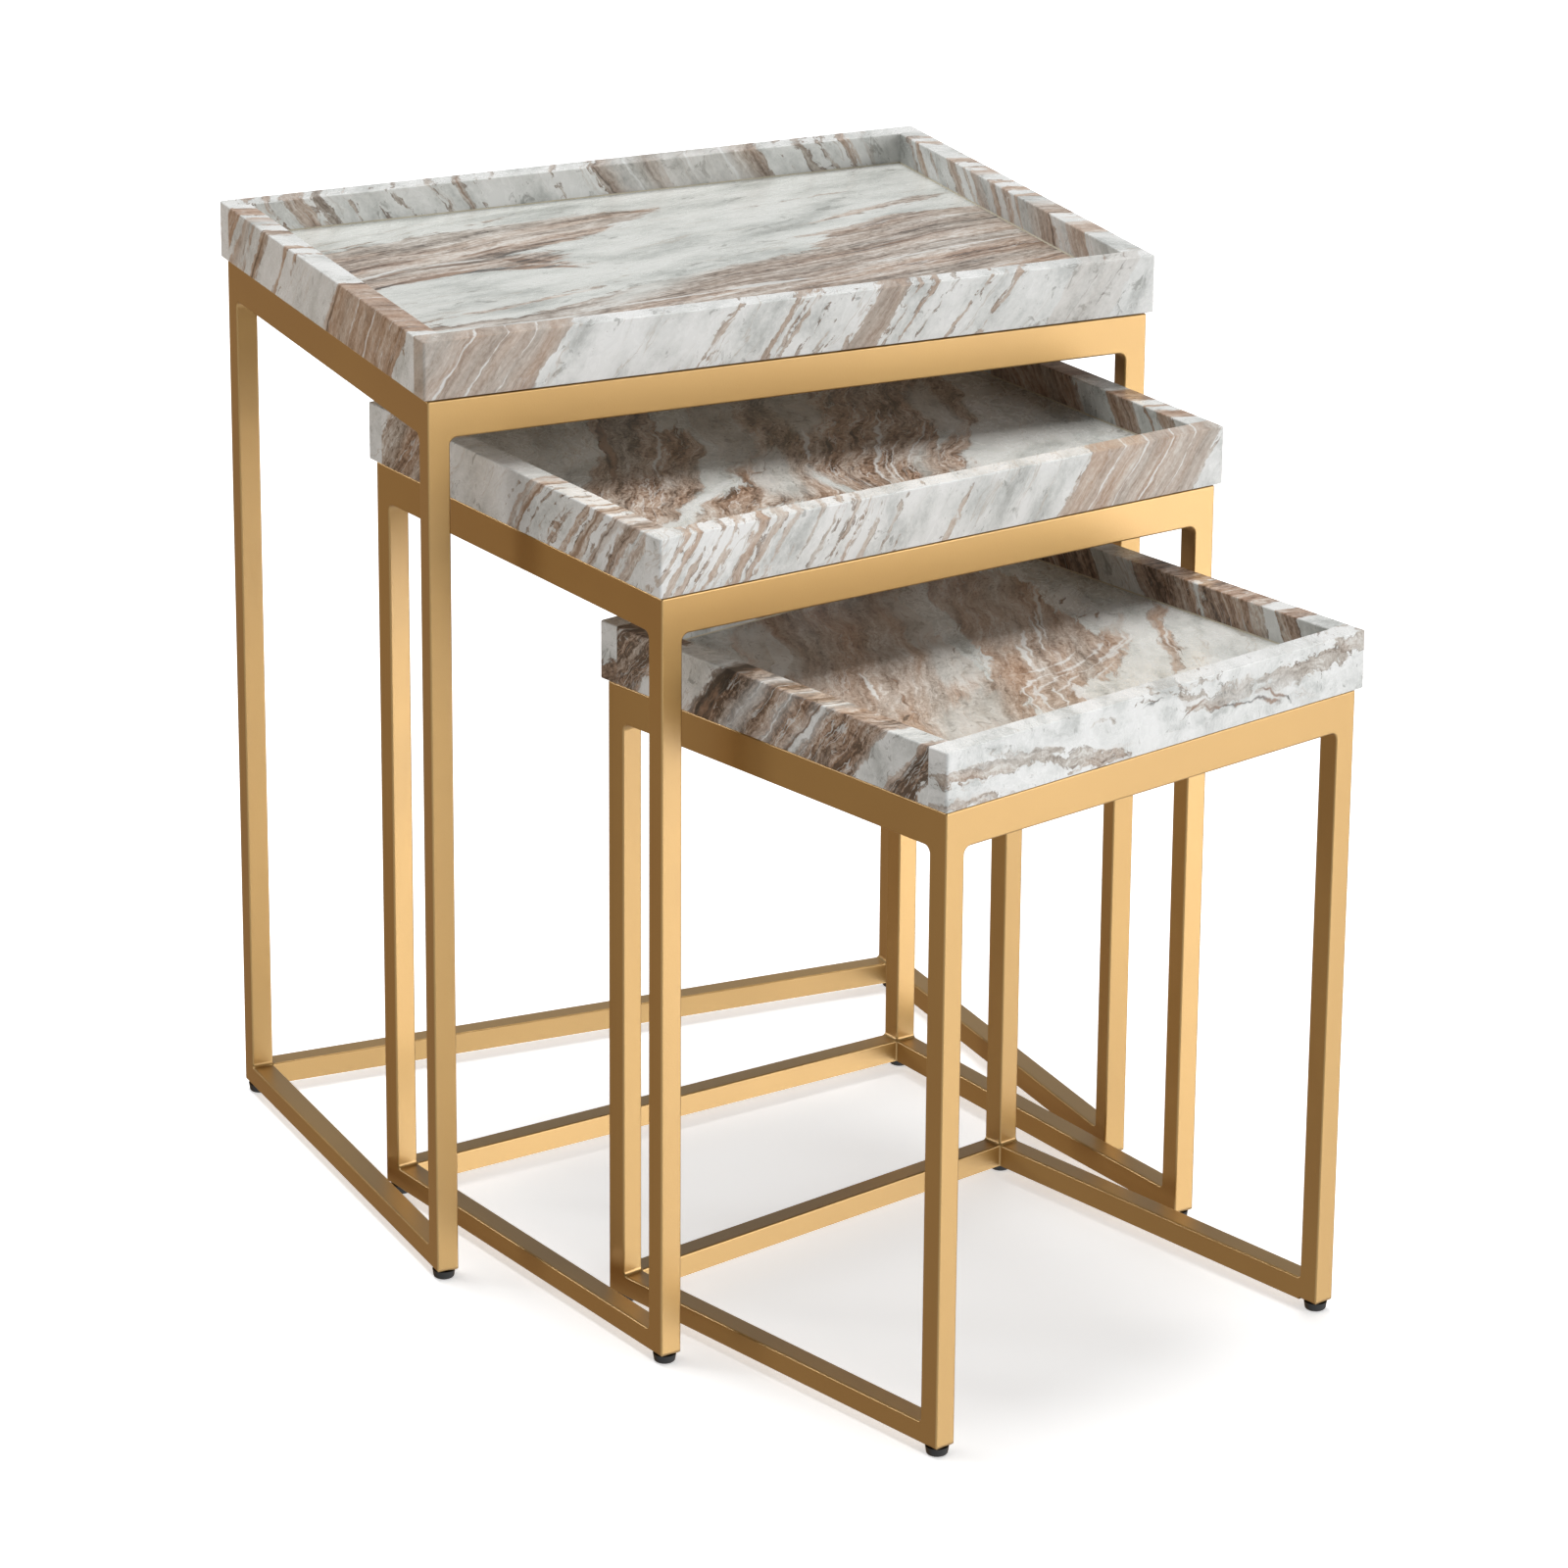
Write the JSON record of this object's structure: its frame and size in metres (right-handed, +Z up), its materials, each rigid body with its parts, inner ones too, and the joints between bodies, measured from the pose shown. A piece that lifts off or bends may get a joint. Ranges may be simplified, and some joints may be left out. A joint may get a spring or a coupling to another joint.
{
  "type": "nesting tables",
  "caption": "Nesting side tables with marble tray tops on gold square-tube frames, open at the front so that each smaller table slides under the larger one.",
  "frame": {"origin": "on the floor, under the middle of the whole set's bounding box with the tables drawn out", "axes": "+Z up; -Y towards the open front, the way the smaller tables are drawn out; +X to the right as seen from the front, along the large table's width"},
  "size_m": [0.5192, 0.7322, 0.635],
  "materials": {
    "marble": "polished",
    "gold_frame": "satin",
    "glide_plastic": "matte",
    "insert_steel": "plain",
    "clear_pad": "soft"
  },
  "bodies": {
    "large_table": {"large_bottom_rail_back": "gold_frame", "large_bottom_rail_left": "gold_frame", "large_bottom_rail_right": "gold_frame", "large_foot_inserts": "insert_steel", "large_glides": "glide_plastic", "large_leg_back_left": "gold_frame", "large_leg_back_right": "gold_frame", "large_leg_front_left": "gold_frame", "large_leg_front_right": "gold_frame", "large_rim_back": "marble", "large_rim_front": "marble", "large_rim_left": "marble", "large_rim_right": "marble", "large_top_rail_back": "gold_frame", "large_top_rail_front": "gold_frame", "large_top_rail_left": "gold_frame", "large_top_rail_right": "gold_frame", "large_tray_floor": "marble", "large_tray_pads": "clear_pad"},
    "medium_pivot_foot": {"medium_pivot_glide": "glide_plastic"},
    "medium_table": {"medium_bottom_rail_back": "gold_frame", "medium_bottom_rail_left": "gold_frame", "medium_bottom_rail_right": "gold_frame", "medium_foot_inserts": "insert_steel", "medium_glides": "glide_plastic", "medium_leg_back_left": "gold_frame", "medium_leg_back_right": "gold_frame", "medium_leg_front_left": "gold_frame", "medium_leg_front_right": "gold_frame", "medium_rim_back": "marble", "medium_rim_front": "marble", "medium_rim_left": "marble", "medium_rim_right": "marble", "medium_top_rail_back": "gold_frame", "medium_top_rail_front": "gold_frame", "medium_top_rail_left": "gold_frame", "medium_top_rail_right": "gold_frame", "medium_tray_floor": "marble", "medium_tray_pads": "clear_pad"},
    "small_pivot_foot": {"small_pivot_glide": "glide_plastic"},
    "small_table": {"small_bottom_rail_back": "gold_frame", "small_bottom_rail_left": "gold_frame", "small_bottom_rail_right": "gold_frame", "small_foot_inserts": "insert_steel", "small_glides": "glide_plastic", "small_leg_back_left": "gold_frame", "small_leg_back_right": "gold_frame", "small_leg_front_left": "gold_frame", "small_leg_front_right": "gold_frame", "small_rim_back": "marble", "small_rim_front": "marble", "small_rim_left": "marble", "small_rim_right": "marble", "small_top_rail_back": "gold_frame", "small_top_rail_front": "gold_frame", "small_top_rail_left": "gold_frame", "small_top_rail_right": "gold_frame", "small_tray_floor": "marble", "small_tray_pads": "clear_pad"}
  },
  "joints": [
    {"name": "medium_draw", "type": "slide", "parent": "large_table", "child": "medium_pivot_foot", "axis": [-0.29, 0.957, 0], "range_m": [-0.2, 0.11841]},
    {"name": "medium_turn", "type": "hinge", "parent": "medium_pivot_foot", "child": "medium_table", "pos_m": [0.23224, -0.09476, 0], "axis": [0, 0, 1], "range_deg": [-9.6, 16.22]},
    {"name": "small_draw", "type": "slide", "parent": "medium_table", "child": "small_pivot_foot", "axis": [-0.3086, 0.9512, 0], "range_m": [-0.15, 0.17173]},
    {"name": "small_turn", "type": "hinge", "parent": "small_pivot_foot", "child": "small_table", "pos_m": [0.24635, -0.2591, 0], "axis": [0, 0, 1], "range_deg": [-6.9, 6.03]}
  ],
  "couplings": [
    {"joint": "medium_turn", "follows": "medium_draw", "rad_per_m": -1.415},
    {"joint": "small_turn", "follows": "small_draw", "rad_per_m": -0.70127}
  ]
}
